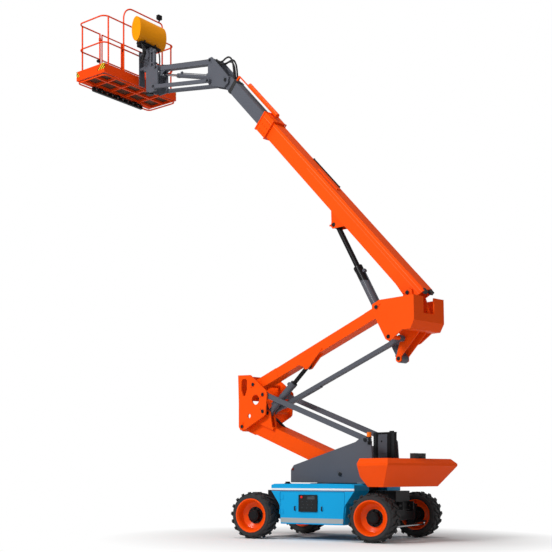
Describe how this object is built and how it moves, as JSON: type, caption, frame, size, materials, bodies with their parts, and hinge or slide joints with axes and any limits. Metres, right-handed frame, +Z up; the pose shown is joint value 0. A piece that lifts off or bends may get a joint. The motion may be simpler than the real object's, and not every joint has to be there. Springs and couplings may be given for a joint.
{
  "type": "articulating boom lift",
  "caption": "Self-propelled articulating boom lift with a counterweighted turntable, synchronised double riser, telescopic boom, jib and rotating work platform on rough-terrain wheels.",
  "frame": {"origin": "On level ground under the slew axis, midway between the axles.", "axes": "+X along the chassis towards the boom end as pictured, +Y to the machine's left, +Z up."},
  "size_m": [9.2731, 4.4536, 12.382],
  "materials": {
    "dark_paint": "matt dark paint",
    "blue_paint": "gloss blue paint",
    "tyre": "black rubber",
    "orange_paint": "gloss orange paint",
    "hub_black": "satin black paint",
    "grey_paint": "satin grey paint",
    "chrome_rod": "polished hard chrome",
    "black_rod": "black rod",
    "amber_lens": "clear amber lens",
    "rubber": "black rubber",
    "red_paint": "gloss orange-red paint",
    "yellow_plastic": "yellow moulded cover",
    "lamp_black": "black housing"
  },
  "bodies": {
    "chassis": {"chassis_frame": "dark_paint", "left_compartment": "blue_paint", "right_compartment": "blue_paint", "engine_block": "dark_paint", "drive_axle": "dark_paint", "steer_axle": "dark_paint"},
    "left_door": {"left_door": "blue_paint"},
    "right_door": {"right_door": "blue_paint"},
    "left_knuckle": {"left_knuckle": "dark_paint"},
    "right_knuckle": {"right_knuckle": "dark_paint"},
    "tie_rod": {"tie_rod": "chrome_rod"},
    "front_left_wheel": {"front_left_tyre": "tyre", "front_left_rim": "orange_paint", "front_left_hub": "hub_black"},
    "front_right_wheel": {"front_right_tyre": "tyre", "front_right_rim": "orange_paint", "front_right_hub": "hub_black"},
    "rear_left_wheel": {"rear_left_tyre": "tyre", "rear_left_rim": "orange_paint", "rear_left_hub": "hub_black"},
    "rear_right_wheel": {"rear_right_tyre": "tyre", "rear_right_rim": "orange_paint", "rear_right_hub": "hub_black"},
    "turntable": {"turntable_frame": "grey_paint", "counterweight": "orange_paint", "cabinet": "dark_paint", "beacon": "amber_lens", "rest_blocks": "rubber"},
    "lower_arm": {"lower_arm": "orange_paint"},
    "lower_link": {"lower_link": "grey_paint"},
    "knuckle": {"knuckle": "orange_paint"},
    "upper_arm": {"upper_arm": "orange_paint"},
    "upper_link": {"upper_link": "grey_paint"},
    "head": {"head": "orange_paint"},
    "riser_barrel": {"riser_barrel": "grey_paint"},
    "riser_rod": {"riser_rod": "black_rod"},
    "main_boom": {"main_boom": "orange_paint"},
    "lift_barrel": {"lift_barrel": "grey_paint"},
    "lift_rod": {"lift_rod": "black_rod"},
    "fly": {"fly_boom": "grey_paint", "hose_tube": "orange_paint"},
    "jib_base": {"jib_base": "grey_paint"},
    "jib_arm": {"jib_arm": "grey_paint"},
    "jib_link": {"jib_link": "grey_paint"},
    "jib_barrel": {"jib_barrel": "grey_paint"},
    "jib_rod": {"jib_rod": "chrome_rod"},
    "support": {"support": "grey_paint"},
    "platform": {"rotator": "grey_paint", "platform_floor": "red_paint", "floor_beam": "dark_paint", "platform_rails": "red_paint", "control_cover": "yellow_plastic", "work_lamp": "lamp_black"},
    "gate": {"gate": "red_paint"}
  },
  "joints": [
    {"name": "front_left_spin", "type": "hinge", "parent": "chassis", "child": "front_left_wheel", "pos_m": [1.25, 1.045, 0.45], "axis": [0, 1, 0], "continuous": true},
    {"name": "front_right_spin", "type": "hinge", "parent": "chassis", "child": "front_right_wheel", "pos_m": [1.25, -1.045, 0.45], "axis": [0, 1, 0], "continuous": true},
    {"name": "steer", "type": "hinge", "parent": "chassis", "child": "left_knuckle", "pos_m": [-1.25, 0.825, 0.45], "axis": [0, 0, 1], "range_deg": [-24, 24]},
    {"name": "steer_right", "type": "hinge", "parent": "chassis", "child": "right_knuckle", "pos_m": [-1.25, -0.825, 0.45], "axis": [0, 0, 1], "range_deg": [-24.01, 24.01]},
    {"name": "tie_rod_pivot", "type": "hinge", "parent": "left_knuckle", "child": "tie_rod", "pos_m": [-1.47, 0.825, 0.275], "axis": [0, 0, 1], "range_deg": [-24.01, 24.01]},
    {"name": "rear_left_spin", "type": "hinge", "parent": "left_knuckle", "child": "rear_left_wheel", "pos_m": [-1.25, 1.045, 0.45], "axis": [0, 1, 0], "continuous": true},
    {"name": "rear_right_spin", "type": "hinge", "parent": "right_knuckle", "child": "rear_right_wheel", "pos_m": [-1.25, -1.045, 0.45], "axis": [0, 1, 0], "continuous": true},
    {"name": "left_door_swing", "type": "hinge", "parent": "chassis", "child": "left_door", "pos_m": [0.678, 1.092, 0.61], "axis": [0, 0, -1], "range_deg": [0, 80]},
    {"name": "right_door_swing", "type": "hinge", "parent": "chassis", "child": "right_door", "pos_m": [0.678, -1.092, 0.61], "axis": [0, 0, 1], "range_deg": [0, 80]},
    {"name": "slew", "type": "hinge", "parent": "chassis", "child": "turntable", "pos_m": [0, 0, 1.06], "axis": [0, 0, 1], "continuous": true},
    {"name": "riser_lift", "type": "hinge", "parent": "turntable", "child": "lower_arm", "pos_m": [-0.41496, 0.11274, 1.243], "axis": [-0.2622, -0.965, 0], "range_deg": [-20.2, 39.8]},
    {"name": "lower_link_pivot", "type": "hinge", "parent": "turntable", "child": "lower_link", "pos_m": [-1.00362, 0.27268, 1.883], "axis": [-0.2622, -0.965, 0], "range_deg": [-20.21, 39.81]},
    {"name": "knuckle_pivot", "type": "hinge", "parent": "lower_arm", "child": "knuckle", "pos_m": [2.19335, -0.59592, 2.23746], "axis": [-0.2622, -0.965, 0], "range_deg": [-39.81, 20.21]},
    {"name": "upper_arm_pivot", "type": "hinge", "parent": "knuckle", "child": "upper_arm", "pos_m": [1.87779, -0.51018, 3.09846], "axis": [0.2622, 0.965, 0], "range_deg": [-20.21, 39.81]},
    {"name": "upper_link_pivot", "type": "hinge", "parent": "knuckle", "child": "upper_link", "pos_m": [1.61241, -0.43808, 2.53246], "axis": [0.2622, 0.965, 0], "range_deg": [-20.21, 39.81]},
    {"name": "head_pivot", "type": "hinge", "parent": "upper_arm", "child": "head", "pos_m": [-1.29203, 0.35104, 4.307], "axis": [0.2622, 0.965, 0], "range_deg": [-39.81, 20.21]},
    {"name": "riser_rod_pivot", "type": "hinge", "parent": "upper_arm", "child": "riser_rod", "pos_m": [0.55282, -0.1502, 3.39046], "axis": [-0.2622, -0.965, 0], "range_deg": [-7.17, 3.65]},
    {"name": "riser_barrel_slide", "type": "slide", "parent": "riser_rod", "child": "riser_barrel", "axis": [0.7411, -0.2013, -0.6405], "range_m": [-0.2196, 0.4317]},
    {"name": "boom_lift", "type": "hinge", "parent": "head", "child": "main_boom", "pos_m": [-1.78515, 0.48501, 4.54], "axis": [-0.2622, -0.965, 0], "range_deg": [-44, 29]},
    {"name": "lift_barrel_pivot", "type": "hinge", "parent": "head", "child": "lift_barrel", "pos_m": [-1.44739, 0.39325, 3.385], "axis": [-0.2622, -0.965, 0], "range_deg": [-33.71, 22.22]},
    {"name": "lift_rod_slide", "type": "slide", "parent": "lift_barrel", "child": "lift_rod", "axis": [0.484, -0.1315, 0.8651], "range_m": [-0.792, 0.5223]},
    {"name": "telescope", "type": "slide", "parent": "main_boom", "child": "fly", "axis": [0.6704, -0.1821, 0.7193], "range_m": [-1.28, 2.6]},
    {"name": "jib_base_pivot", "type": "hinge", "parent": "fly", "child": "jib_base", "pos_m": [2.94265, -0.7995, 9.74858], "axis": [-0.2622, -0.965, 0], "range_deg": [-29.01, 44.01]},
    {"name": "jib_lift", "type": "hinge", "parent": "jib_base", "child": "jib_arm", "pos_m": [3.42323, -0.93007, 10.31058], "axis": [-0.2622, -0.965, 0], "range_deg": [-71.6, 48.4]},
    {"name": "jib_link_pivot", "type": "hinge", "parent": "jib_base", "child": "jib_link", "pos_m": [3.42323, -0.93007, 9.85058], "axis": [-0.2622, -0.965, 0], "range_deg": [-71.61, 48.41]},
    {"name": "jib_rod_pivot", "type": "hinge", "parent": "jib_arm", "child": "jib_rod", "pos_m": [5.17856, -1.40698, 10.55023], "axis": [-0.2622, -0.965, 0], "range_deg": [-1.44, 0.98]},
    {"name": "jib_barrel_slide", "type": "slide", "parent": "jib_rod", "child": "jib_barrel", "axis": [-0.9181, 0.2494, -0.3081], "range_m": [-0.3634, 0.246]},
    {"name": "support_pivot", "type": "hinge", "parent": "jib_arm", "child": "support", "pos_m": [5.23821, -1.42319, 10.69665], "axis": [-0.2622, -0.965, 0], "range_deg": [-48.41, 71.61]},
    {"name": "platform_swing", "type": "hinge", "parent": "support", "child": "platform", "pos_m": [5.65317, -1.53593, 10.9], "axis": [0, 0, 1], "range_deg": [-80, 70]},
    {"name": "gate_swing", "type": "hinge", "parent": "platform", "child": "gate", "pos_m": [6.88058, -1.18702, 11.1], "axis": [0, 0, -1], "range_deg": [0, 70]}
  ],
  "couplings": [
    {"joint": "steer_right", "follows": "steer", "ratio": 1},
    {"joint": "tie_rod_pivot", "follows": "steer", "ratio": -1},
    {"joint": "lower_link_pivot", "follows": "riser_lift", "ratio": 1},
    {"joint": "knuckle_pivot", "follows": "riser_lift", "ratio": -1},
    {"joint": "upper_arm_pivot", "follows": "riser_lift", "ratio": 1},
    {"joint": "upper_link_pivot", "follows": "riser_lift", "ratio": 1},
    {"joint": "head_pivot", "follows": "riser_lift", "ratio": -1},
    {"joint": "riser_rod_pivot", "follows": "riser_lift", "ratio": -0.18},
    {"joint": "riser_barrel_slide", "follows": "riser_lift", "m_per_rad": 0.62},
    {"joint": "lift_barrel_pivot", "follows": "boom_lift", "ratio": 0.766},
    {"joint": "lift_rod_slide", "follows": "boom_lift", "m_per_rad": 1.03},
    {"joint": "jib_base_pivot", "follows": "boom_lift", "ratio": -1},
    {"joint": "jib_link_pivot", "follows": "jib_lift", "ratio": 1},
    {"joint": "jib_rod_pivot", "follows": "jib_lift", "ratio": 0.02},
    {"joint": "jib_barrel_slide", "follows": "jib_lift", "m_per_rad": 0.29},
    {"joint": "support_pivot", "follows": "jib_lift", "ratio": -1}
  ]
}
